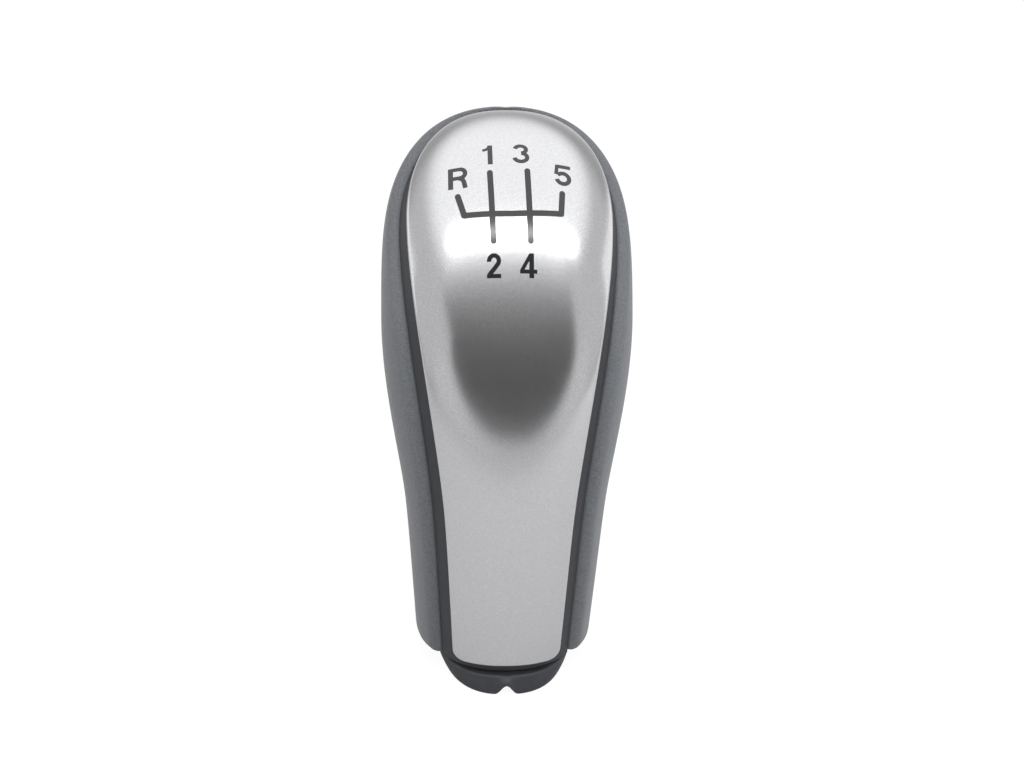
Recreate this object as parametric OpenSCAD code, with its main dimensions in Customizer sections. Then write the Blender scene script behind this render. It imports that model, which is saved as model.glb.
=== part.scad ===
// Gear shift knob for a five-speed gearbox.
// The origin is at the centre of the lever bore's mouth, in the plane of the foot.
// +Z runs up the lever, the face plate looks towards -Y and the head leans back to +Y.

/* [Body outline] */
// Height of the crown above the foot
knob_h = 98.5; // [90:0.5:110]
// Width of the stem at the foot
stem_w = 33.4; // [31:0.2:37]
// Width of the stem at its waist, where it turns into the head
waist_w = 38; // [35:0.2:40]
// Depth of the stem at the foot, front to back
stem_d = 35; // [33:0.5:38]
// Width of the head at its widest
head_w = 46.8; // [42:0.2:52]
// How far behind the lever axis the crown is
crown_y = 29; // [25:0.5:32]
// How far behind the lever axis the head reaches
tail_y = 42; // [40:0.5:46]
// Height of the rearmost point of the head
tail_z = 90; // [84:0.5:92]
// Length over which the front of the stem stays upright
face_rise = 50; // [44:0.5:54]
// Length over which the back of the stem stays upright
back_rise = 60; // [54:0.5:64]
// Length over which the back of the head curves in to its rearmost point
tail_rise = 35; // [28:0.5:40]
// Length over which the crown stays level behind its highest point
brow_run = 7.5; // [6:0.25:9]
// Height over which the crown drops upright to the rearmost point
brow_drop = 5; // [3:0.25:6.5]
// Squareness of every cross-section, where 2 is an ellipse
section_n = 2.2; // [2:0.05:2.6]

/* [Face plate] */
// Thickness of the plate
plate_t = 1.6; // [1.2:0.1:2]
// Width of the plate at its lower end
plate_low_w = 20; // [17:0.2:22]
// Width of the plate beside the waist
plate_waist_w = 24; // [22:0.2:26]
// Width of the plate at its widest
plate_wide_w = 38; // [34:0.2:39]
// Height of the plate's lower edge above the foot
plate_z = 6; // [5.5:0.25:9]
// Radius of the plate's lower corners
plate_corner_r = 2.2; // [1:0.1:3]
// Depth of the rounding along the plate's edge
plate_edge = 0.6; // [0.3:0.05:0.9]

/* [Carrier] */
// Thickness of the carrier behind the plate
carrier_t = 1.6; // [1.2:0.1:1.8]
// Width of the dark strip beside the plate, at the foot
strip_low_w = 3.1; // [2:0.1:3.4]
// Width of the dark strip beside the plate, at the head
strip_high_w = 2.6; // [1.4:0.1:3]

/* [Grips] */
// Thickness of each grip
grip_t = 3.1; // [2.6:0.1:3.2]
// Depth by which the front edge of a grip rolls in
grip_roll = 1.6; // [1:0.1:2]
// Height of the grips and the carrier above the foot
grip_z = 3.9; // [3:0.1:5]
// Radius of the lower edge of a grip
grip_foot_r = 1.5; // [1:0.1:2.8]
// How far the lower front corner of a grip is drawn up
grip_corner = 0.6; // [0.3:0.1:2]
// Depth of the groove along the parting line
seam_groove = 0.15; // [0.1:0.05:0.5]

/* [Collar] */
// Width of the collar at its top
collar_w = 26.6; // [25:0.2:27]
// Depth of the collar at its top, front to back
collar_d = 33.4; // [30:0.2:34]
// Width of the collar at its rim
rim_w = 24; // [21:0.2:26]
// Depth of the collar at its rim, front to back
rim_d = 36.4; // [32:0.2:38]
// Squareness of the collar's outline, where 2 is an ellipse
collar_n = 2.5; // [2:0.05:3]
// Wall of the collar
collar_t = 1.6; // [1.2:0.1:1.8]
// Depth of the rounding along the rim
rim_edge = 0.3; // [0.1:0.05:0.6]
// Width of the notch in the front of the rim
notch_w = 5.2; // [3:0.2:6]
// Height of the notch
notch_h = 2; // [1.2:0.1:2.8]

/* [Socket] */
// Diameter of the gear lever
lever_d = 12; // [10:0.1:13]
// Diametral clearance of the lever in its bush
lever_clearance = 0.1; // [0.05:0.05:0.3]
// Depth of the lever bore
bore_depth = 36; // [32:1:40]
// Wall of the bush
bush_wall = 1.6; // [1.4:0.1:2]
// Thickness of the bush's closed end
bush_end = 2; // [1.5:0.1:3]
// Width of each key on the bush
key_w = 3; // [2:0.1:4]
// Height of each key on the bush
key_h = 1; // [0.6:0.1:1.4]
// Height at which the keys start above the mouth
key_z = 3; // [2:0.5:6]
// Height of the ring groove's middle above the mouth
ring_z = 30; // [26:0.5:31]
// Wire diameter of the retaining ring
ring_wire = 1.2; // [1:0.1:1.4]
// How far the ring stands into the bore
ring_bite = 0.4; // [0.2:0.05:0.6]
// Opening of the ring, in degrees
ring_opening = 60; // [30:5:90]

/* [Core] */
// Wall of the socket around the bush
socket_wall = 1.6; // [1.2:0.1:2]
// Thickness of the middle web
web_t = 2.4; // [1.6:0.1:3]
// Thickness of each cross rib
rib_t = 2; // [1.4:0.1:2.6]
// Number of cross ribs
ribs = 9; // [7:1:10]

/* [Fits] */
// Gap between pieces that are pressed or clipped together
fit = 0.15; // [0.1:0.05:0.2]
// Gap between the core and the shells around it
core_gap = 0.3; // [0.2:0.05:0.4]

/* [Hidden] */
$fn = 64;

// Places along the body, where 0 is the foot and 1 the rearmost point of the head
crown_u = 0.8;
waist_u = 0.205;
wide_u = 0.463;
plate_wide_u = 0.6;
plate_tip_u = 0.823;
strip_tip_u = 0.842;
last_rib_u = 0.74;
pole_u = 0.998;

// Fullness of the curves that close the body and the plate
waist_blend = 0.5;
crown_run = brow_run * crown_u / (1 - crown_u);
body_closing = [3.3, 1];
plate_closing = [1.9, 2.7];

strip_depth = plate_t + fit;
foot_pace = crown_u / (3 * face_rise);
plate_u = plate_z * foot_pace;
carrier_u = grip_z * foot_pace;
corner_u = grip_corner * foot_pace;
collar_h = min(face_point(carrier_u)[1], back_point(carrier_u)[1]) - fit;
tip_gap_u = fit * (1 - crown_u) / (2 * brow_run);
bore_r = (lever_d + lever_clearance) / 2;
bush_r = bore_r + bush_wall;
socket_r = bush_r + fit;
core_depth = max(grip_t, strip_depth + carrier_t) + core_gap;

function mix(a, b, t) = a + (b - a) * t;
function ease(t) = let (k = min(max(t, 0), 1)) k * k * (3 - 2 * k);
function power(v, p) = sign(v) * pow(abs(v), p);
function bezier(a, b, c, d, t) =
    pow(1 - t, 3) * a + 3 * pow(1 - t, 2) * t * b + 3 * (1 - t) * t * t * c + pow(t, 3) * d;
// Drop of a rounded edge of radius r at a distance from its end
function rounding(r, distance) = distance >= r ? 0 : r - sqrt(r * r - pow(r - distance, 2));

// Side profile: the front and the back of the body, as [y, z]
function face_point(u) =
    u < crown_u
    ? bezier([-stem_d / 2, 0], [-stem_d / 2, face_rise], [crown_y - crown_run, knob_h],
             [crown_y, knob_h], u / crown_u)
    : bezier([crown_y, knob_h], [crown_y + brow_run, knob_h], [tail_y, tail_z + brow_drop],
             [tail_y, tail_z], (u - crown_u) / (1 - crown_u));
function back_point(u) =
    bezier([stem_d / 2, 0], [stem_d / 2, back_rise], [tail_y, tail_z - tail_rise], [tail_y, tail_z], u);

// Share of the full width that is left between the widest place and the tip
function closed(u, at, tip, powers) =
    u <= at ? 1 : u >= tip ? 0 : pow(1 - pow((u - at) / (tip - at), powers[0]), 1 / powers[1]);
// Larger of two widths, with a soft change from one to the other
function larger(a, b) = (a + b + norm([a - b, waist_blend])) / 2;
// Half-width of the body: the straight taper of the stem runs into the curve of the head
function body_half(u) =
    let (share = (min(u, wide_u) - waist_u) / (wide_u - waist_u),
         stem = mix(stem_w, waist_w, min(u, wide_u) / waist_u) / 2,
         head = mix(waist_w, head_w, sin(90 * max(share, -1))) / 2)
    larger(stem, head) * closed(u, wide_u, 1, body_closing);
// Half-width of the plate or the carrier: a straight taper, then a curve out and in to the tip
function lobe(u, low, waist, wide, tip) =
    let (start = ease(waist_u / plate_wide_u),
         stem = mix(low, waist, min(u, plate_wide_u) / waist_u),
         head = mix(waist, wide, (ease(u / plate_wide_u) - start) / (1 - start)))
    larger(stem, head) * closed(u, plate_wide_u, tip, plate_closing);
function plate_half(u) =
    lobe(u, plate_low_w / 2, plate_waist_w / 2, plate_wide_w / 2, plate_tip_u)
    - rounding(plate_corner_r, (u - plate_u) / foot_pace);
function carrier_half(u) =
    lobe(u, plate_low_w / 2 + strip_low_w, plate_waist_w / 2 + strip_low_w,
         plate_wide_w / 2 + strip_high_w, strip_tip_u);

// A point of the body's skin: angle 0 is the middle of the face and 90 the right side
function skin(u, angle) =
    let (front = face_point(u), back = back_point(u), middle = (front + back) / 2,
         reach = (front - middle) * power(cos(angle), 2 / section_n))
    [body_half(u) * power(sin(angle), 2 / section_n), middle[0] + reach[0], middle[1] + reach[1]];
function skin_normal(u, angle) =
    let (across = skin(u, angle + 0.5) - skin(u, angle - 0.5),
         along = skin(u + 0.001, angle) - skin(u - 0.001, angle),
         n = cross(across, along))
    n / norm(n);
// Rows of points that crowd together towards a tip
function tip_rows(tip) = concat([for (k = [1:10]) mix(plate_wide_u, tip, sin(90 * k / 11))], [tip - 0.0006]);
// The same point at a depth below the skin
function under_skin(u, angle, depth) = skin(u, angle) - depth * skin_normal(u, angle);
// Angle at which the skin has a given distance from the middle plane
function angle_at(u, x) = sign(x) * asin(pow(min(abs(x) / body_half(u), 1), section_n / 2));

function quad(a, b, c, d) = [[a, b, c], [a, c, d]];
function mirrored(grid) = [for (row = grid) [for (p = row) [-p[0], p[1], p[2]]]];

// Closed shell between two grids of points that have the same rows and columns
module shell(outer, inner, flip = false) {
    rows = len(outer);
    cols = len(outer[0]);
    size = rows * cols;
    points = concat([for (row = outer) for (p = row) p], [for (row = inner) for (p = row) p]);
    faces = [
        for (i = [0:rows - 2]) for (j = [0:cols - 2])
            let (a = i * cols + j, b = a + 1, c = b + cols, d = a + cols)
            for (f = concat(quad(a, d, c, b), quad(size + a, size + b, size + c, size + d))) f,
        for (i = [0:rows - 2])
            let (a = i * cols, d = a + cols, b = a + cols - 1, c = b + cols)
            for (f = concat(quad(a, size + a, size + d, d), quad(b, c, size + c, size + b))) f,
        for (j = [0:cols - 2])
            let (a = j, b = j + 1, c = (rows - 1) * cols + j, d = c + 1)
            for (f = concat(quad(a, b, size + b, size + a), quad(c, size + c, size + d, d))) f
    ];
    polyhedron(points, [for (f = faces) flip ? [f[2], f[1], f[0]] : f], convexity = 6);
}

// Silver shell that is clipped onto the carrier
module face_plate() {
    corner = [0, 0.1, 0.4, 1];
    rows = concat(
        [for (k = corner) plate_u + k * plate_corner_r * foot_pace],
        [for (k = [1:12]) mix(plate_u, plate_wide_u, k / 12)],
        tip_rows(plate_tip_u));
    half = [0.15, 0.3, 0.45, 0.6, 0.74, 0.86, 0.95, 0.98, 1];
    cols = concat([for (k = [len(half) - 1:-1:0]) -half[k]], [0], half);
    function edge(u, k) = rounding(plate_edge, (1 - abs(k)) * plate_half(u));
    outer = [for (u = rows) [for (k = cols) under_skin(u, angle_at(u, k * plate_half(u)), edge(u, k))]];
    inner = [for (u = rows) [for (k = cols) under_skin(u, angle_at(u, k * plate_half(u)), plate_t)]];
    color("silver") shell(outer, inner);
}

// Dark moulding behind the plate, which shows as a strip beside it
module carrier() {
    rows = concat([for (k = [0:13]) mix(carrier_u, plate_wide_u, k / 13)], tip_rows(strip_tip_u));
    cols = [for (k = [-8:8]) k / 8];
    outer = [for (u = rows) [for (k = cols)
        under_skin(u, angle_at(u, k * carrier_half(u)), strip_depth)]];
    inner = [for (u = rows) [for (k = cols)
        under_skin(u, angle_at(u, k * carrier_half(u)), strip_depth + carrier_t)]];
    color("dimgray") shell(outer, inner);
}

// Right-hand grip; the left-hand one mirrors it
module grip(flip = false) {
    tip = strip_tip_u + tip_gap_u;
    steps = concat(
        [for (k = [0, 0.3, 0.7]) carrier_u + k * grip_foot_r * foot_pace],
        [for (k = [0:14]) mix(carrier_u + 1.3 * grip_foot_r * foot_pace, plate_wide_u, k / 14)],
        [for (u = tip_rows(strip_tip_u)) u + tip_gap_u],
        [for (k = [0:8]) mix(tip, pole_u, sin(90 * k / 8))]);
    cols = concat([0, 0.01, 0.025, 0.05, 0.1], [for (k = [2:9]) k / 10], [0.96, 0.99, 1]);
    roll = [1, 0.45, 0.12];
    function place(u, k) = u + corner_u * ease(1 - k / 0.16) * ease(1 - (u - carrier_u) / 0.1);
    function edge(u) = u < tip ? carrier_half(u - tip_gap_u * ease(u / strip_tip_u)) + fit : fit / 2;
    function angle(u, k) = mix(angle_at(u, edge(u)), 180 - angle_at(u, fit / 2), k);
    function drop(u, j) =
        let (front = j < len(roll) ? roll[j] * mix(grip_roll, seam_groove, ease((u - tip) / 0.01 + 1)) : 0,
             back = j == len(cols) - 1 ? seam_groove : 0)
        max(front, back, rounding(grip_foot_r, (u - carrier_u) / foot_pace));
    function grid(depth) = [for (u = steps) [for (j = [0:len(cols) - 1])
        let (w = place(u, cols[j])) under_skin(w, angle(w, cols[j]), depth ? grip_t : drop(u, j))]];
    outer = flip ? mirrored(grid(false)) : grid(false);
    inner = flip ? mirrored(grid(true)) : grid(true);
    color("gray") shell(outer, inner, flip);
}
module grip_right() { grip(); }
module grip_left() { grip(true); }

// Oval ring that the knob stands on, with a notch in the front of its rim
module collar() {
    heights = [0, 0.08, 0.25, 0.5, 0.75, 1];
    notch_angle = asin(pow(notch_w / rim_w, collar_n / 2));
    angles = concat([for (k = [-5:5]) notch_angle * sign(k) * pow(abs(k) / 5, collar_n / 2)],
                    [for (k = [1:32]) mix(notch_angle, 360 - notch_angle, k / 33)]);
    function notch(x) = abs(x) < notch_w / 2 ? notch_h * pow(cos(180 * x / notch_w), 3) : 0;
    // Point at a height share of the ring, set in from its outer face
    function ring_point(k, angle, inset) =
        let (half_w = mix(rim_w, collar_w, sin(90 * k)) / 2 - inset,
             half_d = mix(rim_d, collar_d, 1 - cos(90 * k)) / 2 - inset,
             x = half_w * power(sin(angle), 2 / collar_n))
        [x, -half_d * power(cos(angle), 2 / collar_n), mix(cos(angle) > 0 ? notch(x) : 0, collar_h, k)];
    n = len(angles);
    m = len(heights);
    points = concat(
        [for (k = heights) for (a = angles) ring_point(k, a, rounding(rim_edge, k * collar_h))],
        [for (k = heights) for (a = angles) ring_point(k, a, collar_t)]);
    faces = [for (i = [0:2 * m - 1]) for (j = [0:n - 1])
        let (next = (j + 1) % n,
             lower = i < m ? i : 3 * m - 1 - i,
             upper = i < m - 1 ? i + 1 : i == m - 1 ? 2 * m - 1 : i == 2 * m - 1 ? 0 : 3 * m - 2 - i)
        for (f = quad(lower * n + j, upper * n + j, upper * n + next, lower * n + next)) f];
    color("dimgray") polyhedron(points, faces, convexity = 6);
}

// Bush that the gear lever slides into
module lever_bush() {
    groove_r = bore_r + ring_wire - ring_bite + fit;
    color("darkgray") difference() {
        union() {
            cylinder(h = bore_depth + bush_end, r = bush_r);
            for (side = [0, 180])
                rotate([0, 0, side]) translate([0, -key_w / 2, key_z])
                    cube([bush_r + key_h, key_w, bore_depth - key_z]);
        }
        translate([0, 0, -1]) cylinder(h = bore_depth + 1, r = bore_r);
        translate([0, 0, ring_z - ring_wire / 2 - fit]) cylinder(h = ring_wire + 2 * fit, r = groove_r);
    }
}

// Spring ring that snaps into the groove of the lever
module retaining_ring() {
    middle_r = bore_r - ring_bite + ring_wire / 2;
    color("silver") translate([0, 0, ring_z]) rotate([0, 0, ring_opening / 2])
        rotate_extrude(angle = 360 - ring_opening) translate([middle_r, 0]) circle(d = ring_wire, $fn = 24);
}

// Point of the core's outline at an angle that lies in a plane, found from a guess in a few steps
function in_plane(u, angle, middle, normal, steps = 4) =
    let (p = under_skin(u, angle, core_depth), pace = under_skin(u + 0.01, angle, core_depth) - p)
    steps == 0 ? p : in_plane(u - 0.01 * ((p - middle) * normal) / (pace * normal), angle, middle, normal,
                              steps - 1);

// Rib in the plane of a cross-section, which fills it up to the shells
module cross_rib(u) {
    front = face_point(u);
    back = back_point(u);
    middle = [0, front[0] + back[0], front[1] + back[1]] / 2;
    chord = concat(0, back - front) / norm(back - front);
    normal = [0, -chord[2], chord[1]];
    translate(middle) rotate([atan2(chord[2], chord[1]), 0, 0])
        linear_extrude(rib_t, center = true) intersection_for (side = [-1, 1])
            polygon([for (a = [0:10:350])
                let (p = in_plane(u, a, middle + side * rib_t / 2 * normal, normal) - middle)
                [p[0], p * chord]]);
}

// Ribbed moulding that holds the bush and backs the shells
module core() {
    first_rib_u = carrier_u + rib_t / 2 * foot_pace;
    web_steps = [for (k = [0:16]) mix(first_rib_u, strip_tip_u, k / 16)];
    web = concat([for (u = web_steps) under_skin(u, 0, core_depth)],
                 [for (k = [16:-1:0]) under_skin(web_steps[k], 180, core_depth)]);
    color("black") difference() {
        union() {
            rotate([90, 0, 90]) linear_extrude(web_t, center = true) polygon([for (p = web) [p[1], p[2]]]);
            for (k = [0:ribs - 1]) cross_rib(mix(first_rib_u, last_rib_u, k / (ribs - 1)));
            translate([0, 0, collar_h + fit])
                cylinder(h = bore_depth + bush_end + socket_wall - collar_h, r = socket_r + socket_wall);
        }
        translate([0, 0, -1]) cylinder(h = bore_depth + bush_end + fit + 1, r = socket_r);
        for (side = [0, 180])
            rotate([0, 0, side]) translate([0, -key_w / 2 - fit, -1])
                cube([bush_r + key_h + fit, key_w + 2 * fit, bore_depth + fit + 1]);
    }
}

face_plate();
carrier();
grip_left();
grip_right();
collar();
core();
lever_bush();
retaining_ring();
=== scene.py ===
"""The looks of the gear shift knob: fine shells, print, materials, light and camera."""

import math

import bmesh
import bpy
import numpy as np
from mathutils import Matrix, Vector


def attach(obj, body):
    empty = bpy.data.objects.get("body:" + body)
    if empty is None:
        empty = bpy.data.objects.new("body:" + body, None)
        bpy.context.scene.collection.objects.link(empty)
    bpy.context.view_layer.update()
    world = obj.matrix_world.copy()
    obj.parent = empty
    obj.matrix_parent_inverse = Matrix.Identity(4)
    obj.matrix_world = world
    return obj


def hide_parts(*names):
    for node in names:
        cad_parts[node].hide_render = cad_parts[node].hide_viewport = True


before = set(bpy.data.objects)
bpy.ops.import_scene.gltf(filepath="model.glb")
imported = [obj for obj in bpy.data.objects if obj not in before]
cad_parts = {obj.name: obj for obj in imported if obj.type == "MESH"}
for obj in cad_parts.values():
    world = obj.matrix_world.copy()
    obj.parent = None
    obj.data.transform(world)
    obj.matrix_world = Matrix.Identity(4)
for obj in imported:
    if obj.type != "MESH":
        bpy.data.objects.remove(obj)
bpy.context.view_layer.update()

MM = 0.001

# Body outline, in millimetres, as in the part's source
KNOB_H, STEM_W, WAIST_W, STEM_D, HEAD_W = 98.5, 33.4, 38.0, 35.0, 46.8
CROWN_Y, TAIL_Y, TAIL_Z = 29.0, 42.0, 90.0
FACE_RISE, BACK_RISE, TAIL_RISE = 50.0, 60.0, 35.0
BROW_RUN, BROW_DROP = 7.5, 5.0
SECTION_N = 2.2
CROWN_U, WAIST_U, WIDE_U = 0.8, 0.205, 0.463
WAIST_BLEND = 0.5
BODY_CLOSING = (3.3, 1.0)
CROWN_RUN = BROW_RUN * CROWN_U / (1 - CROWN_U)
FOOT_PACE = CROWN_U / (3 * FACE_RISE)

# Shells
FIT = 0.15
PLATE_T, PLATE_Z = 1.6, 6.0
PLATE_LOW_W, PLATE_WAIST_W, PLATE_WIDE_W = 20.0, 24.0, 38.0
PLATE_CORNER_R, PLATE_EDGE = 2.2, 0.6
PLATE_WIDE_U, PLATE_TIP_U, STRIP_TIP_U = 0.6, 0.823, 0.842
PLATE_CLOSING = (1.9, 2.7)
CARRIER_T, STRIP_LOW_W, STRIP_HIGH_W = 1.6, 3.1, 2.6
GRIP_T, GRIP_ROLL, GRIP_Z, GRIP_FOOT_R, GRIP_CORNER = 3.1, 1.6, 3.9, 1.5, 0.6
SEAM_GROOVE = 0.15
STRIP_DEPTH = PLATE_T + FIT
PLATE_U = PLATE_Z * FOOT_PACE
CARRIER_U = GRIP_Z * FOOT_PACE
CORNER_U = GRIP_CORNER * FOOT_PACE
TIP_GAP_U = FIT * (1 - CROWN_U) / (2 * BROW_RUN)

# The seam behind the head is closed further than in the part's source, so that no light comes through
POLE_U, SEAM_HALF = 0.9995, 0.01

# Collar
COLLAR_W, COLLAR_D, RIM_W, RIM_D = 26.6, 33.4, 24.0, 36.4
COLLAR_N, COLLAR_T, RIM_EDGE = 2.5, 1.6, 0.3
NOTCH_W, NOTCH_H = 5.2, 2.0

# Print: places are across the plate and along its face from the foot
INK_LIFT, INK_LAYER, INK_DEPTH, INK_CELL = 0.02, 0.003, 0.05, 0.45
CROSS_STROKE, GATE_STROKE = 1.08, 1.05
CROSS = ((-8.5, 93.5), (0.0, 93.5), (8.75, 93.9))
LEGS = (((-8.5, 93.5), (-9.6, 97.3)), ((8.75, 93.9), (9.05, 97.9)))
GATES = (((-3.4, 88.55), (-3.85, 101.6)), ((3.2, 88.55), (2.85, 101.95)))
NUMERAL_H = 4.4
NUMERALS = (("1", -4.1, 105.6, 1.1), ("3", 1.85, 105.8, 1.25), ("R", -9.5, 101.1, 1.15),
            ("5", 9.3, 101.75, 1.2), ("2", -3.35, 84.1, 0.94), ("4", 2.75, 84.1, 1.02))
# The numerals 2 and 4 get the ink whose reflection is turned down: painted shade that darkens them.
SHADE_PAINTED_NUMERALS = "24"

# Camera, as the photo was taken
AZIMUTH, ELEVATION, DISTANCE, ROLL = -4.1, 30.0, 320.0, 1.9
LOOK_AT = (0.9, 6.9, 53.4)
FOCAL_PX, IMAGE_W, SENSOR = 1713.6, 1024, 36.0

# Room around the knob
FLOOR_HALF, FLOOR_GREY, FLOOR_WHITE = 1500, 0.58, 0.88
ROOM_GLOW, CAMERA_WHITE = 0.95, 1.06

# Card in front: its box, then the dark patch and how far its left side spreads above a height
FRONT_Y, FRONT_X, FRONT_Z = -300, (-420, 540), (30, 430)
PATCH_X, PATCH_Z, PATCH_HALF, PATCH_DROP = 45, 150, 310, 108
PATCH_EDGE = (0.88, 1.05)
SPREAD_Z, SPREAD = 175, 0.7
SHADE_Z, SHADE_RISE, SHADE_POWER = 90, 260, 2.2
SHADE_LOW, SHADE_GAIN, SHADE_TOP = 0.1, 1.15, 1.8
FOOT_GLOW, FOOT_Z = 0.1, (160, 100)

# Card overhead: its box, the soft lamp, the dim part of the room behind it and the bright band
TOP_Z, TOP_X, TOP_Y = 485, (-1300, 1300), (-600, 1500)
LAMP_X, LAMP_HALF, LAMP_POWER = 25, 590, 1.4
LAMP_BACK_Y, LAMP_BACK, LAMP_FRONT_Y, LAMP_FRONT = -140, 850, -330, 120
LAMP_GLOW, LAMP_EDGE = 0.97, (1.35, 0.7)
DIM_GLOW, DIM_Y = -0.38, (200, 700)
FAR_GLOW, FAR_Y = 0.15, (800, 1300)
BAND_X, BAND_Y, BAND_WIDTH = 65, -283, 36
BAND_GLOW, BAND_ENDS = 9.5, (560, 360)

# Low cards at the sides
SIDE_X, SIDE_Y, SIDE_Z, SIDE_GLOW = 700, (-50, 500), (20, 250), 1.7

# Flat lamps for the matte surfaces: place, size, glow, the place it looks at, and whether it is round
LAMPS = {
    "overhead": ((15, 100, 490), (750, 1140), 0.9, (15, 100, 0), True),
    "bar": ((0, -300, 480), (1060, 110), 6.0, (0, -300, 0), False),
    "fill": ((600, -200, 200), (300, 300), 5.0, (0, 0, 50), False),
}


def mix(a, b, t):
    return a + (b - a) * t


def ease(t):
    t = np.clip(t, 0, 1)
    return t * t * (3 - 2 * t)


def power(v, p):
    return np.sign(v) * np.abs(v) ** p


def rounding(r, distance):
    """Drop of a rounded edge of radius r at a distance from its end."""
    inside = np.clip(r - distance, 0, r)
    return r - np.sqrt(r * r - inside * inside)


def bezier(a, b, c, d, t):
    a, b, c, d = (np.array(p) for p in (a, b, c, d))
    t = t[..., None]
    return (1 - t) ** 3 * a + 3 * (1 - t) ** 2 * t * b + 3 * (1 - t) * t * t * c + t ** 3 * d


def face_point(u):
    """Front of the side profile, as (y, z)."""
    stem = bezier((-STEM_D / 2, 0), (-STEM_D / 2, FACE_RISE), (CROWN_Y - CROWN_RUN, KNOB_H),
                  (CROWN_Y, KNOB_H), u / CROWN_U)
    brow = bezier((CROWN_Y, KNOB_H), (CROWN_Y + BROW_RUN, KNOB_H), (TAIL_Y, TAIL_Z + BROW_DROP),
                  (TAIL_Y, TAIL_Z), (u - CROWN_U) / (1 - CROWN_U))
    return np.where((u < CROWN_U)[..., None], stem, brow)


def back_point(u):
    return bezier((STEM_D / 2, 0), (STEM_D / 2, BACK_RISE), (TAIL_Y, TAIL_Z - TAIL_RISE),
                  (TAIL_Y, TAIL_Z), u)


def closed(u, at, tip, powers):
    """Share of the full width that is left between the widest place and the tip."""
    t = np.clip((u - at) / (tip - at), 0, 1)
    return (1 - t ** powers[0]) ** (1 / powers[1])


def larger(a, b):
    """Larger of two widths, with a soft change from one to the other."""
    return (a + b + np.hypot(a - b, WAIST_BLEND)) / 2


def body_half(u):
    """The straight taper of the stem runs into the curve of the head."""
    share = (np.minimum(u, WIDE_U) - WAIST_U) / (WIDE_U - WAIST_U)
    stem = mix(STEM_W, WAIST_W, np.minimum(u, WIDE_U) / WAIST_U) / 2
    head = mix(WAIST_W, HEAD_W, np.sin(math.pi / 2 * np.maximum(share, -1))) / 2
    return larger(stem, head) * closed(u, WIDE_U, 1, BODY_CLOSING)


def lobe(u, low, waist, wide, tip):
    """Half-width of the plate or the carrier: a straight taper, then a curve out and in to the tip."""
    start = ease(WAIST_U / PLATE_WIDE_U)
    stem = mix(low, waist, np.minimum(u, PLATE_WIDE_U) / WAIST_U)
    head = mix(waist, wide, (ease(u / PLATE_WIDE_U) - start) / (1 - start))
    return larger(stem, head) * closed(u, PLATE_WIDE_U, tip, PLATE_CLOSING)


def plate_half(u):
    wide = lobe(u, PLATE_LOW_W / 2, PLATE_WAIST_W / 2, PLATE_WIDE_W / 2, PLATE_TIP_U)
    return wide - rounding(PLATE_CORNER_R, (u - PLATE_U) / FOOT_PACE)


def carrier_half(u):
    return lobe(u, PLATE_LOW_W / 2 + STRIP_LOW_W, PLATE_WAIST_W / 2 + STRIP_LOW_W,
                PLATE_WIDE_W / 2 + STRIP_HIGH_W, STRIP_TIP_U)


def skin(u, angle):
    """A point of the body's skin: angle 0 is the middle of the face and pi / 2 the right side."""
    front, back = face_point(u), back_point(u)
    middle = (front + back) / 2
    reach = (front - middle) * power(np.cos(angle), 2 / SECTION_N)[..., None]
    x = body_half(u) * power(np.sin(angle), 2 / SECTION_N)
    return np.concatenate([x[..., None], middle + reach], -1)


def under_skin(u, angle, depth):
    """The same point at a depth below the skin."""
    u, angle, depth = np.broadcast_arrays(np.asarray(u, float), angle, depth)
    across = skin(u, angle + 0.005) - skin(u, angle - 0.005)
    along = skin(u + 0.0008, angle) - skin(u - 0.0008, angle)
    normal = np.cross(across, along)
    normal /= np.linalg.norm(normal, axis=-1, keepdims=True)
    return skin(u, angle) - depth[..., None] * normal


def angle_at(u, x):
    share = np.minimum(np.abs(x) / body_half(u), 1)
    return np.sign(x) * np.arcsin(share ** (SECTION_N / 2))


def face_lengths():
    """Places along the body, and the length of the face up to each."""
    u = np.linspace(0, 0.9, 1801)
    steps = np.linalg.norm(np.diff(face_point(u), axis=0), axis=1)
    return u, np.concatenate([[0], np.cumsum(steps)])


LENGTH_U, LENGTH_S = face_lengths()


def length_at(u):
    return np.interp(u, LENGTH_U, LENGTH_S)


def edge_distance(u, x, half, low_u, tip_u):
    """Distance of each place on the face from the outline of a piece."""
    edge_u = np.concatenate([np.linspace(low_u, PLATE_WIDE_U, 400),
                             mix(PLATE_WIDE_U, tip_u, np.sin(np.linspace(0, math.pi / 2, 200)))])
    side = np.stack([half(edge_u), length_at(edge_u)], -1)
    outline = np.concatenate([[[0, side[0, 1]]], side])
    start, span = outline[:-1], np.diff(outline, axis=0)
    square = np.maximum((span ** 2).sum(1), 1e-12)
    gaps = []
    for place in np.stack([np.abs(x), length_at(u)], -1).reshape(-1, 2):
        share = np.clip(((place - start) * span).sum(1) / square, 0, 1)
        gaps.append(np.linalg.norm(start + share[:, None] * span - place, axis=1).min())
    return np.array(gaps).reshape(u.shape)


def piece(name, points, faces, material, sharp=math.radians(50), replaces=()):
    """Mesh object in metres that rides on the knob's one body."""
    mesh = bpy.data.meshes.new(name)
    mesh.from_pydata([tuple(p) for p in np.asarray(points) * MM], [], faces)
    mesh.validate()
    built = bmesh.new()
    built.from_mesh(mesh)
    bmesh.ops.remove_doubles(built, verts=built.verts, dist=1e-7)
    bmesh.ops.recalc_face_normals(built, faces=built.faces)
    built.to_mesh(mesh)
    built.free()
    mesh.shade_smooth()
    mesh.set_sharp_from_angle(angle=sharp)
    mesh.materials.append(material)
    obj = bpy.data.objects.new(name, mesh)
    bpy.context.scene.collection.objects.link(obj)
    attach(obj, "root")
    if replaces:
        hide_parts(*replaces)
    return obj


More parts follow.
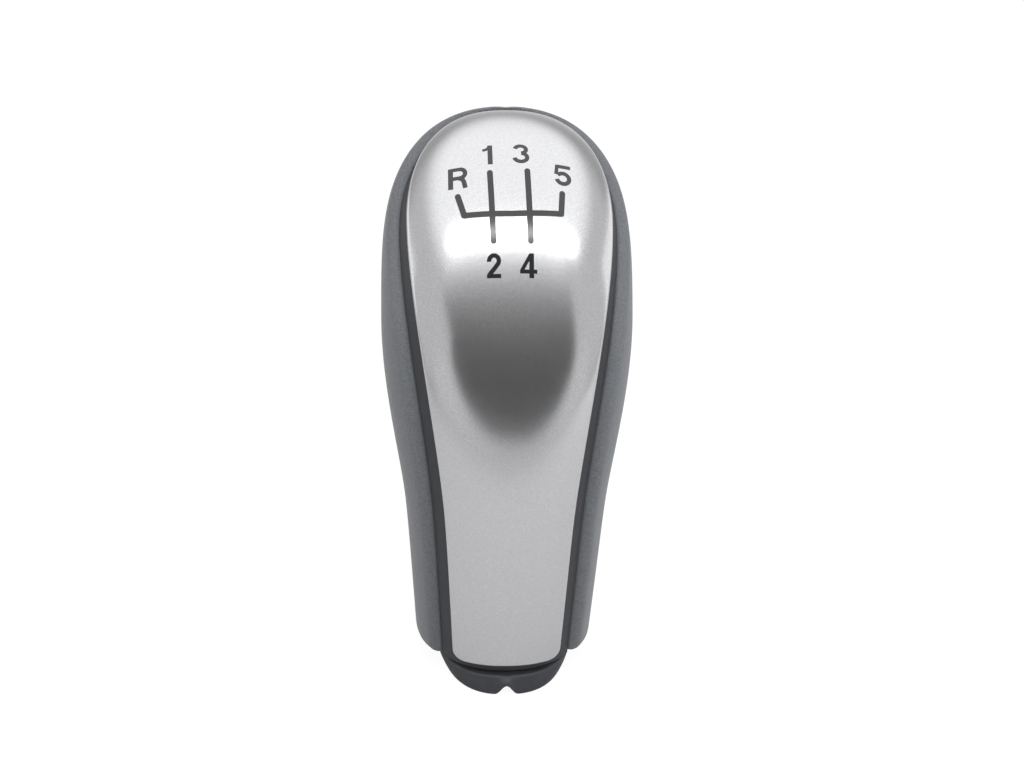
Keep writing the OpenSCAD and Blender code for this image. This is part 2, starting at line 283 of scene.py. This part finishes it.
def shell(name, outer, inner, material, replaces=()):
    """Closed shell between two grids of points with the same rows and columns."""
    rows, cols = outer.shape[:2]
    size = rows * cols
    at = np.arange(size).reshape(rows, cols)
    faces = []
    for i in range(rows - 1):
        for j in range(cols - 1):
            a, b, c, d = at[i, j], at[i, j + 1], at[i + 1, j + 1], at[i + 1, j]
            faces += [(a, b, c, d), (size + a, size + d, size + c, size + b)]
        for j in (0, cols - 1):
            a, d = at[i, j], at[i + 1, j]
            faces.append((a, d, size + d, size + a))
    for j in range(cols - 1):
        for i in (0, rows - 1):
            a, b = at[i, j], at[i, j + 1]
            faces.append((a, size + a, size + b, b))
    points = np.concatenate([outer.reshape(-1, 3), inner.reshape(-1, 3)])
    return piece(name, points, [tuple(map(int, f)) for f in faces], material, replaces=replaces)


def edge_columns(half, count):
    """Columns across a piece, close together along its two edges."""
    near = np.array([0, 0.03, 0.1, 0.2, 0.35, 0.55, 0.85])
    scale = np.minimum(1, half / 2)[:, None]
    left = -half[:, None] + near * scale
    inner = half[:, None] - near[-1] * scale
    middle = inner * np.linspace(-1, 1, count)[None, 1:-1]
    return np.concatenate([left, middle, -left[:, ::-1]], 1)


def tip_rows(tip, count):
    """Rows that crowd together towards a tip."""
    rows = mix(PLATE_WIDE_U, tip, np.sin(np.linspace(0, math.pi / 2, count + 1)))
    rows[-1] = tip - 0.00002
    return rows[1:]


def face_plate(material):
    near = np.array([0, 0.03, 0.1, 0.2, 0.35, 0.55, 0.85, 1.3, 1.8]) * FOOT_PACE
    rows = np.concatenate([PLATE_U + near, np.linspace(PLATE_U + near[-1], PLATE_WIDE_U, 80)[1:],
                           tip_rows(PLATE_TIP_U, 64)])
    x = edge_columns(plate_half(rows), 40)
    u = np.repeat(rows[:, None], x.shape[1], 1)
    angle = angle_at(u, x)
    drop = rounding(PLATE_EDGE, edge_distance(u, x, plate_half, PLATE_U, PLATE_TIP_U))
    return shell("plate_shell", under_skin(u, angle, drop), under_skin(u, angle, PLATE_T),
                 material, ["face_plate"])


def carrier(material):
    rows = np.concatenate([np.linspace(CARRIER_U, PLATE_WIDE_U, 60), tip_rows(STRIP_TIP_U, 48)])
    x = edge_columns(carrier_half(rows), 30)
    u = np.repeat(rows[:, None], x.shape[1], 1)
    angle = angle_at(u, x)
    return shell("carrier_shell", under_skin(u, angle, STRIP_DEPTH),
                 under_skin(u, angle, STRIP_DEPTH + CARRIER_T), material, ["carrier"])


def grip(side, material):
    """One grip shell; side is 1 on the right and -1 on the left."""
    tip = STRIP_TIP_U + TIP_GAP_U
    foot = np.array([0, 0.04, 0.1, 0.2, 0.32, 0.48, 0.65, 0.85, 1, 1.2]) * GRIP_FOOT_R * FOOT_PACE
    rows = np.concatenate([CARRIER_U + foot, np.linspace(CARRIER_U + foot[-1], PLATE_WIDE_U, 80)[1:],
                           tip_rows(STRIP_TIP_U, 48) + TIP_GAP_U,
                           mix(tip, POLE_U, np.sin(np.linspace(0, math.pi / 2, 40)))])
    near = np.array([0, 0.003, 0.007, 0.012, 0.018, 0.025, 0.034, 0.045, 0.06])
    cols = np.concatenate([near, np.linspace(near[-1], 0.97, 60)[1:], [0.98, 0.988, 0.993, 0.997, 1]])
    u, k = np.meshgrid(rows, cols, indexing="ij")
    placed = u + CORNER_U * ease(1 - k / 0.16) * ease(1 - (u - CARRIER_U) / 0.1)
    closing = carrier_half(placed - TIP_GAP_U * ease(placed / STRIP_TIP_U)) + FIT
    edge = np.where(placed < tip, closing, SEAM_HALF)
    start, end = angle_at(placed, edge), math.pi - angle_at(placed, np.full_like(u, SEAM_HALF))
    roll = mix(GRIP_ROLL, SEAM_GROOVE, ease((u - tip) / 0.01 + 1))
    front = roll * np.clip(1 - k / 0.05, 0, 1) ** 2
    back = SEAM_GROOVE * np.clip(1 - (1 - k) / 0.012, 0, 1) ** 2
    drop = np.maximum.reduce([front, back, rounding(GRIP_FOOT_R, (u - CARRIER_U) / FOOT_PACE)])
    angle = mix(start, end, k)
    flip = np.array([side, 1, 1])
    name = "right" if side > 0 else "left"
    return shell(f"grip_shell_{name}", under_skin(placed, angle, drop) * flip,
                 under_skin(placed, angle, GRIP_T) * flip, material, [f"grip_{name}"])


def collar(material):
    """Oval ring with a notch in the front of its rim."""
    at = np.array(CARRIER_U)
    high = min(face_point(at)[1], back_point(at)[1]) - FIT
    heights = np.concatenate([[0, 0], np.array([0.01, 0.03, 0.07, 0.13, 0.2, RIM_EDGE]) / high,
                              np.linspace(0.15, 0.97, 10), [1, 1]])
    inset = rounding(RIM_EDGE, heights * high)
    inset[0] = COLLAR_T
    inset[-3:] = [0.02, 0.15, COLLAR_T]
    notch_angle = math.asin((NOTCH_W / RIM_W) ** (COLLAR_N / 2))
    share = np.linspace(-1, 1, 31)
    angles = np.concatenate([notch_angle * power(share, COLLAR_N / 2),
                             np.linspace(notch_angle, 2 * math.pi - notch_angle, 200)[1:-1]])
    k, a = np.meshgrid(heights, angles, indexing="ij")
    half_w = mix(RIM_W, COLLAR_W, np.sin(math.pi / 2 * k)) / 2 - inset[:, None]
    half_d = mix(RIM_D, COLLAR_D, 1 - np.cos(math.pi / 2 * k)) / 2 - inset[:, None]
    x = half_w * power(np.sin(a), 2 / COLLAR_N)
    y = -half_d * power(np.cos(a), 2 / COLLAR_N)
    bell = NOTCH_H * np.cos(math.pi * np.clip(x / NOTCH_W, -0.5, 0.5)) ** 3
    notch = np.where(y < 0, bell, 0)
    points = np.stack([x, y, mix(notch, high, k)], -1)
    rows, cols = k.shape
    faces = []
    for i in range(rows):
        for j in range(cols):
            below, above, nxt = i * cols, (i + 1) % rows * cols, (j + 1) % cols
            faces.append((below + j, below + nxt, above + nxt, above + j))
    return piece("collar_ring", points.reshape(-1, 3), faces, material,
                 replaces=["collar"])


def slice_mesh(built, cell):
    """Cuts a flat mesh along a square grid, so that it can bend with the plate."""
    for axis in (0, 1):
        values = [v.co[axis] for v in built.verts]
        normal = Vector((1, 0, 0)) if axis == 0 else Vector((0, 1, 0))
        for n in range(math.ceil(min(values) / cell), math.floor(max(values) / cell) + 1):
            everything = built.verts[:] + built.edges[:] + built.faces[:]
            bmesh.ops.bisect_plane(built, geom=everything, plane_co=normal * n * cell, plane_no=normal)


def printed(name, built, material, layer):
    """Lays a flat mesh of places (across, along) on the plate as a thin solid of ink."""
    slice_mesh(built, INK_CELL)
    bmesh.ops.triangulate(built, faces=built.faces)
    built.verts.index_update()
    flat = np.array([(v.co.x, v.co.y) for v in built.verts])
    count = len(flat)
    u = np.interp(flat[:, 1], LENGTH_S, LENGTH_U)
    angle = angle_at(u, flat[:, 0])
    lift = INK_LIFT + INK_LAYER * layer
    points = np.concatenate([under_skin(u, angle, -lift), under_skin(u, angle, INK_DEPTH)])
    top = [tuple(v.index for v in f.verts) for f in built.faces]
    rim = [tuple(v.index for v in e.verts) for e in built.edges if e.is_boundary]
    faces = top + [tuple(count + i for i in reversed(f)) for f in top]
    faces += [(a, b, count + b, count + a) for a, b in rim]
    built.free()
    return piece(name, points, faces, material)


def ribbon(built, path, width):
    """Flat band of one width along a path."""
    path = np.array(path, float)
    along = np.gradient(path, axis=0)
    side = np.stack([-along[:, 1], along[:, 0]], -1) / np.linalg.norm(along, axis=1)[:, None]
    left = [built.verts.new((*p, 0)) for p in path + side * width / 2]
    right = [built.verts.new((*p, 0)) for p in path - side * width / 2]
    for i in range(len(path) - 1):
        built.faces.new([left[i], right[i], right[i + 1], left[i + 1]])


def arc(x, y, across, up, start, end):
    """Points on an ellipse's arc between two angles in degrees."""
    turn = np.radians(np.linspace(start, end, 25))
    return [(x + across * math.cos(t), y + up * math.sin(t)) for t in turn]


def round_end(built, at, width):
    ring = [(at[0] + width / 2 * math.cos(t), at[1] + width / 2 * math.sin(t), 0)
            for t in np.linspace(0, 2 * math.pi, 25)[:-1]]
    built.faces.new([built.verts.new(p) for p in ring])


# Numerals one unit high about their middles, as bands of a given width along paths
GLYPHS = {
    "1": [(0.13, [(-0.2, 0.24), (-0.1, 0.26), (0, 0.33), (0.07, 0.46)]),
          (0.2, [(0.08, -0.5), (0.08, 0.5)])],
    "2": [(0.18, arc(0, 0.2, 0.205, 0.215, 190, -35) + [(-0.02, -0.16), (-0.2, -0.36)]),
          (0.17, [(-0.3, -0.415), (0.3, -0.415)])],
    "3": [(0.175, arc(-0.01, 0.22, 0.18, 0.195, 170, -85)),
          (0.175, arc(-0.01, -0.2, 0.21, 0.215, 85, -172))],
    "4": [(0.15, [(0.1, 0.48), (-0.27, -0.2)]), (0.16, [(-0.34, -0.235), (0.34, -0.235)]),
          (0.19, [(0.12, 0.5), (0.12, -0.5)])],
    "5": [(0.17, [(-0.22, 0.415), (0.27, 0.415)]), (0.15, [(-0.19, 0.48), (-0.235, 0.02)]),
          (0.18, arc(0, -0.16, 0.215, 0.25, 145, -168))],
    "R": [(0.2, [(-0.26, -0.5), (-0.26, 0.5)]), (0.17, [(-0.2, 0.415), (0.05, 0.415)]),
          (0.18, arc(0.05, 0.2, 0.2, 0.215, 90, -90)), (0.17, [(0.05, -0.015), (-0.2, -0.015)]),
          (0.19, [(0.03, -0.02), (0.16, -0.1), (0.21, -0.25), (0.25, -0.5)])],
}


def numeral(text, x, s, spread, material):
    for n, (width, path) in enumerate(GLYPHS[text]):
        built = bmesh.new()
        places = [(x + NUMERAL_H * spread * a, s + NUMERAL_H * b) for a, b in path]
        ribbon(built, places, width * NUMERAL_H)
        printed(f"print_{text}_{n}", built, material, n)


def shift_pattern(material):
    lines = [("cross", CROSS, CROSS_STROKE)]
    lines += [(f"leg_{n}", path, GATE_STROKE) for n, path in enumerate(LEGS)]
    lines += [(f"gate_{n}", path, GATE_STROKE) for n, path in enumerate(GATES)]
    for layer, (name, path, width) in enumerate(lines):
        for n, end in enumerate((path[0], path[-1])):
            built = bmesh.new()
            round_end(built, end, width)
            printed(f"print_{name}_end_{n}", built, material, 2 * layer + 1)
        built = bmesh.new()
        ribbon(built, path, width)
        printed(f"print_{name}", built, material, 2 * layer)


def new_material(name, color, roughness, metallic=0.0, coat=0.0):
    made = bpy.data.materials.new(name)
    made.use_nodes = True
    shader = made.node_tree.nodes["Principled BSDF"]
    shader.inputs["Base Color"].default_value = (*color, 1)
    shader.inputs["Roughness"].default_value = roughness
    shader.inputs["Metallic"].default_value = metallic
    shader.inputs["Coat Weight"].default_value = coat
    shader.inputs["Coat Roughness"].default_value = 0.12
    return made, shader


def noise(tree, scale, detail=2.0):
    """Noise in the object's own coordinates; scale is in cells per millimetre."""
    place = tree.nodes.new("ShaderNodeTexCoord")
    made = tree.nodes.new("ShaderNodeTexNoise")
    made.inputs["Scale"].default_value = scale / MM
    made.inputs["Detail"].default_value = detail
    tree.links.new(place.outputs["Object"], made.inputs["Vector"])
    return made.outputs["Fac"]


def vary_color(made, shader, factor, low, high):
    ramp = made.node_tree.nodes.new("ShaderNodeValToRGB")
    ramp.color_ramp.elements[0].position = 0.3
    ramp.color_ramp.elements[1].position = 0.7
    ramp.color_ramp.elements[0].color = (*low, 1)
    ramp.color_ramp.elements[1].color = (*high, 1)
    made.node_tree.links.new(factor, ramp.inputs["Fac"])
    made.node_tree.links.new(ramp.outputs["Color"], shader.inputs["Base Color"])


def vary_roughness(made, shader, factor, low, high):
    span = made.node_tree.nodes.new("ShaderNodeMapRange")
    span.inputs["To Min"].default_value = low
    span.inputs["To Max"].default_value = high
    made.node_tree.links.new(factor, span.inputs["Value"])
    made.node_tree.links.new(span.outputs["Result"], shader.inputs["Roughness"])


def add_bump(made, shader, factor, strength, height):
    bump = made.node_tree.nodes.new("ShaderNodeBump")
    bump.inputs["Strength"].default_value = strength
    bump.inputs["Distance"].default_value = height * MM
    made.node_tree.links.new(factor, bump.inputs["Height"])
    made.node_tree.links.new(bump.outputs["Normal"], shader.inputs["Normal"])


def silver_lacquer():
    made, shader = new_material("silver_lacquer", (0.44, 0.44, 0.45), 0.16, metallic=0.95, coat=0.5)
    flakes = noise(made.node_tree, 5.0, detail=3.0)
    vary_color(made, shader, flakes, (0.38, 0.38, 0.39), (0.48, 0.48, 0.49))
    vary_roughness(made, shader, noise(made.node_tree, 0.4), 0.15, 0.19)
    add_bump(made, shader, flakes, 0.06, 0.01)
    return made


def soft_grip():
    made, shader = new_material("soft_grip", (0.085, 0.09, 0.098), 0.6)
    shader.inputs["Specular IOR Level"].default_value = 0.35
    shader.inputs["Sheen Weight"].default_value = 0.1
    grain = noise(made.node_tree, 3.5, detail=4.0)
    vary_color(made, shader, grain, (0.059, 0.063, 0.069), (0.107, 0.113, 0.123))
    vary_roughness(made, shader, noise(made.node_tree, 0.8), 0.5, 0.65)
    add_bump(made, shader, grain, 0.35, 0.06)
    return made


def moulded(name, color, roughness):
    made, shader = new_material(name, color, roughness)
    shader.inputs["Specular IOR Level"].default_value = 0.4
    grain = noise(made.node_tree, 5.0)
    vary_roughness(made, shader, grain, roughness - 0.06, roughness + 0.06)
    low, high = ([c * share for c in color] for share in (0.9, 1.1))
    vary_color(made, shader, noise(made.node_tree, 0.6), low, high)
    add_bump(made, shader, grain, 0.12, 0.03)
    return made


def metal(name, color, roughness):
    made, shader = new_material(name, color, roughness, metallic=1.0)
    turning = noise(made.node_tree, 4.0)
    vary_roughness(made, shader, turning, roughness - 0.05, roughness + 0.08)
    add_bump(made, shader, turning, 0.08, 0.01)
    return made


def ink(name, specular):
    """Black print; the copy with its reflection turned down paints shade onto the numerals it is given.
    """
    made, shader = new_material(name, (0.012, 0.012, 0.013), 0.09)
    shader.inputs["Specular IOR Level"].default_value = specular
    vary_roughness(made, shader, noise(made.node_tree, 5.0), 0.07, 0.11)
    return made


def finish_node(name, material):
    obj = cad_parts[name]
    obj.data.materials.clear()
    obj.data.materials.append(material)


def make_camera():
    azimuth, elevation = math.radians(AZIMUTH), math.radians(ELEVATION)
    away = Vector((math.sin(azimuth) * math.cos(elevation), -math.cos(azimuth) * math.cos(elevation),
                   math.sin(elevation)))
    data = bpy.data.cameras.new("camera")
    data.sensor_width = SENSOR
    data.lens = FOCAL_PX / IMAGE_W * SENSOR
    data.clip_start = 0.01
    camera = bpy.data.objects.new("camera", data)
    bpy.context.scene.collection.objects.link(camera)
    turn = away.to_track_quat("Z", "Y").to_matrix().to_4x4()
    place = Vector(LOOK_AT) * MM + away * DISTANCE * MM
    camera.matrix_world = Matrix.Translation(place) @ turn @ Matrix.Rotation(math.radians(ROLL), 4, "Z")
    bpy.context.scene.camera = camera


def make_plane(name, corners, material):
    mesh = bpy.data.meshes.new(name)
    mesh.from_pydata([Vector(c) * MM for c in corners], [], [(0, 1, 2, 3)])
    mesh.materials.append(material)
    obj = bpy.data.objects.new(name, mesh)
    bpy.context.scene.collection.objects.link(obj)
    return obj


def white_for_camera(tree, shader, share):
    """Shows a share of plain white to the camera and leaves the light on the object alone."""
    path = tree.nodes.new("ShaderNodeLightPath")
    white = tree.nodes.new("ShaderNodeEmission")
    white.inputs["Strength"].default_value = CAMERA_WHITE
    part = tree.nodes.new("ShaderNodeMath")
    part.operation = "MULTIPLY"
    part.inputs[1].default_value = share
    blend = tree.nodes.new("ShaderNodeMixShader")
    tree.links.new(path.outputs["Is Camera Ray"], part.inputs[0])
    tree.links.new(part.outputs[0], blend.inputs["Fac"])
    tree.links.new(shader.outputs[0], blend.inputs[1])
    tree.links.new(white.outputs[0], blend.inputs[2])
    return blend


def make_floor():
    made, shader = new_material("floor_white", (FLOOR_GREY, FLOOR_GREY, FLOOR_GREY), 0.8)
    shader.inputs["Specular IOR Level"].default_value = 0.1
    output = made.node_tree.nodes["Material Output"]
    blend = white_for_camera(made.node_tree, shader, FLOOR_WHITE)
    made.node_tree.links.new(blend.outputs[0], output.inputs["Surface"])
    corners = [(x * FLOOR_HALF, y * FLOOR_HALF, 0) for x, y in ((-1, -1), (1, -1), (1, 1), (-1, 1))]
    make_plane("floor", corners, made)


class Term:
    """Value in a material's node tree: its sums and products become math nodes."""

    def __init__(self, tree, socket):
        self.tree = tree
        self.socket = socket

    def put_into(self, place):
        self.tree.links.new(self.socket, place)

    def math(self, operation, other=0):
        made = self.tree.nodes.new("ShaderNodeMath")
        made.operation = operation
        self.put_into(made.inputs[0])
        if isinstance(other, Term):
            other.put_into(made.inputs[1])
        else:
            made.inputs[1].default_value = other
        return Term(self.tree, made.outputs[0])

    def __add__(self, other):
        return self.math("ADD", other)

    def __sub__(self, other):
        return self.math("SUBTRACT", other)

    def __mul__(self, other):
        return self.math("MULTIPLY", other)

    def __truediv__(self, other):
        return self.math("DIVIDE", other)

    def __pow__(self, other):
        return self.math("POWER", other)

    def size(self):
        return self.math("ABSOLUTE")

    def step(self, start, end):
        """Share that goes softly from 0 at the start to 1 at the end."""
        made = self.tree.nodes.new("ShaderNodeMapRange")
        made.interpolation_type = "SMOOTHSTEP"
        made.inputs["From Min"].default_value = start
        made.inputs["From Max"].default_value = end
        self.put_into(made.inputs["Value"])
        return Term(self.tree, made.outputs["Result"])


def card_material(name):
    """Glowing material and the three axes of its card, in millimetres."""
    made = bpy.data.materials.new(name)
    made.use_nodes = True
    tree = made.node_tree
    tree.nodes.remove(tree.nodes["Principled BSDF"])
    place = tree.nodes.new("ShaderNodeTexCoord")
    axes = tree.nodes.new("ShaderNodeSeparateXYZ")
    tree.links.new(place.outputs["Object"], axes.inputs[0])
    return made, [Term(tree, axis) / MM for axis in axes.outputs]


def finish_card(name, made, glow, corners):
    """Card that only the knob's gloss sees."""
    shader = made.node_tree.nodes.new("ShaderNodeEmission")
    output = made.node_tree.nodes["Material Output"]
    if isinstance(glow, Term):
        glow.put_into(shader.inputs["Strength"])
    else:
        shader.inputs["Strength"].default_value = glow
    made.node_tree.links.new(shader.outputs[0], output.inputs["Surface"])
    card = make_plane(name, corners, made)
    card.visible_camera = False
    card.visible_diffuse = False
    card.visible_shadow = False


def make_front_card():
    """Card in front: a dark patch, rounded below, wider to the left and paler above."""
    made, (x, _, z) = card_material("card_front")
    spread = (z - SPREAD_Z).math("MAXIMUM") * SPREAD
    aside = (x - PATCH_X + spread) / (spread + PATCH_HALF)
    below = (z - PATCH_Z).math("MINIMUM") / PATCH_DROP
    edge = (aside * aside + below * below).math("SQRT").step(*PATCH_EDGE)
    climb = ((z - SHADE_Z) / SHADE_RISE).math("MAXIMUM")
    shade = (climb ** SHADE_POWER * SHADE_GAIN + SHADE_LOW).math("MINIMUM", SHADE_TOP)
    outside = z.step(*FOOT_Z) * FOOT_GLOW + ROOM_GLOW
    (left, right), (low, high) = FRONT_X, FRONT_Z
    corners = [(left, FRONT_Y, low), (right, FRONT_Y, low), (right, FRONT_Y, high), (left, FRONT_Y, high)]
    finish_card("front_card", made, shade + (outside - shade) * edge, corners)


def make_top_card():
    """Card overhead: a soft lamp that narrows to the back, with a bright band along its front."""
    made, (x, y, _) = card_material("card_top")
    aside = (x - LAMP_X).size() / LAMP_HALF
    behind = (y - LAMP_BACK_Y) / LAMP_BACK
    ahead = (y - LAMP_FRONT_Y) / -LAMP_FRONT
    along = behind.math("MAXIMUM", ahead).math("MAXIMUM")
    reach = (aside ** LAMP_POWER + along ** LAMP_POWER) ** (1 / LAMP_POWER)
    lamp = reach.step(*LAMP_EDGE) * LAMP_GLOW
    room = y.step(*DIM_Y) * DIM_GLOW + y.step(*FAR_Y) * FAR_GLOW + ROOM_GLOW
    across = (y - BAND_Y) / BAND_WIDTH
    ridge = (across * across * -1).math("EXPONENT")
    band = ridge * (x - BAND_X).size().step(*BAND_ENDS) * BAND_GLOW
    (left, right), (front, back) = TOP_X, TOP_Y
    corners = [(left, front, TOP_Z), (left, back, TOP_Z), (right, back, TOP_Z), (right, front, TOP_Z)]
    finish_card("top_card", made, lamp + room + band, corners)


def make_side_cards():
    """Low bright walls, which draw a line of light along the rounded edges of the plate."""
    (front, back), (low, high) = SIDE_Y, SIDE_Z
    for name, x in (("left_card", -SIDE_X), ("right_card", SIDE_X)):
        made, _ = card_material(name)
        corners = [(x, front, low), (x, back, low), (x, back, high), (x, front, high)]
        finish_card(name, made, SIDE_GLOW, corners)


def area_light(name, place, size, glow, towards, round_shape):
    """Flat lamp for the matte surfaces alone, because the gloss sees the cards; in millimetres."""
    data = bpy.data.lights.new(name, "AREA")
    data.shape = "ELLIPSE" if round_shape else "RECTANGLE"
    data.size, data.size_y = size[0] * MM, size[1] * MM
    data.energy = glow * math.pi * data.size * data.size_y * (math.pi / 4 if round_shape else 1)
    light = bpy.data.objects.new(name, data)
    light.visible_glossy = False
    place = Vector(place) * MM
    turn = (place - Vector(towards) * MM).to_track_quat("Z", "Y")
    light.matrix_world = Matrix.Translation(place) @ turn.to_matrix().to_4x4()
    bpy.context.scene.collection.objects.link(light)


def make_light():
    world = bpy.data.worlds.new("studio")
    bpy.context.scene.world = world
    world.use_nodes = True
    background = world.node_tree.nodes["Background"]
    background.inputs["Color"].default_value = (1, 1, 1, 1)
    background.inputs["Strength"].default_value = ROOM_GLOW
    blend = white_for_camera(world.node_tree, background, 1.0)
    world.node_tree.links.new(blend.outputs[0], world.node_tree.nodes["World Output"].inputs["Surface"])
    for name, values in LAMPS.items():
        area_light(name, *values)


make_camera()
make_floor()
make_front_card()
make_top_card()
make_side_cards()
make_light()
dark = moulded("dark_plastic", (0.017, 0.018, 0.022), 0.5)
rubber = soft_grip()
glossy_ink = ink("glossy_ink", 0.5)
# The same ink with less reflection: painted shade on the numerals 2 and 4, not a different ink.
shade_painted_ink = ink("shade_painted_ink", 0.12)
face_plate(silver_lacquer())
carrier(dark)
grip(1, rubber)
grip(-1, rubber)
collar(dark)
shift_pattern(glossy_ink)
# The numerals 2 and 4 are made darker with painted shade.
for text, across, along, spread in NUMERALS:
    numeral(text, across, along, spread, shade_painted_ink if text in SHADE_PAINTED_NUMERALS else glossy_ink)
finish_node("core", moulded("core_plastic", (0.03, 0.03, 0.032), 0.5))
finish_node("lever_bush", metal("bush_metal", (0.6, 0.6, 0.6), 0.35))
finish_node("retaining_ring", metal("spring_steel", (0.5, 0.5, 0.5), 0.25))

bpy.context.scene.view_settings.view_transform = "Standard"
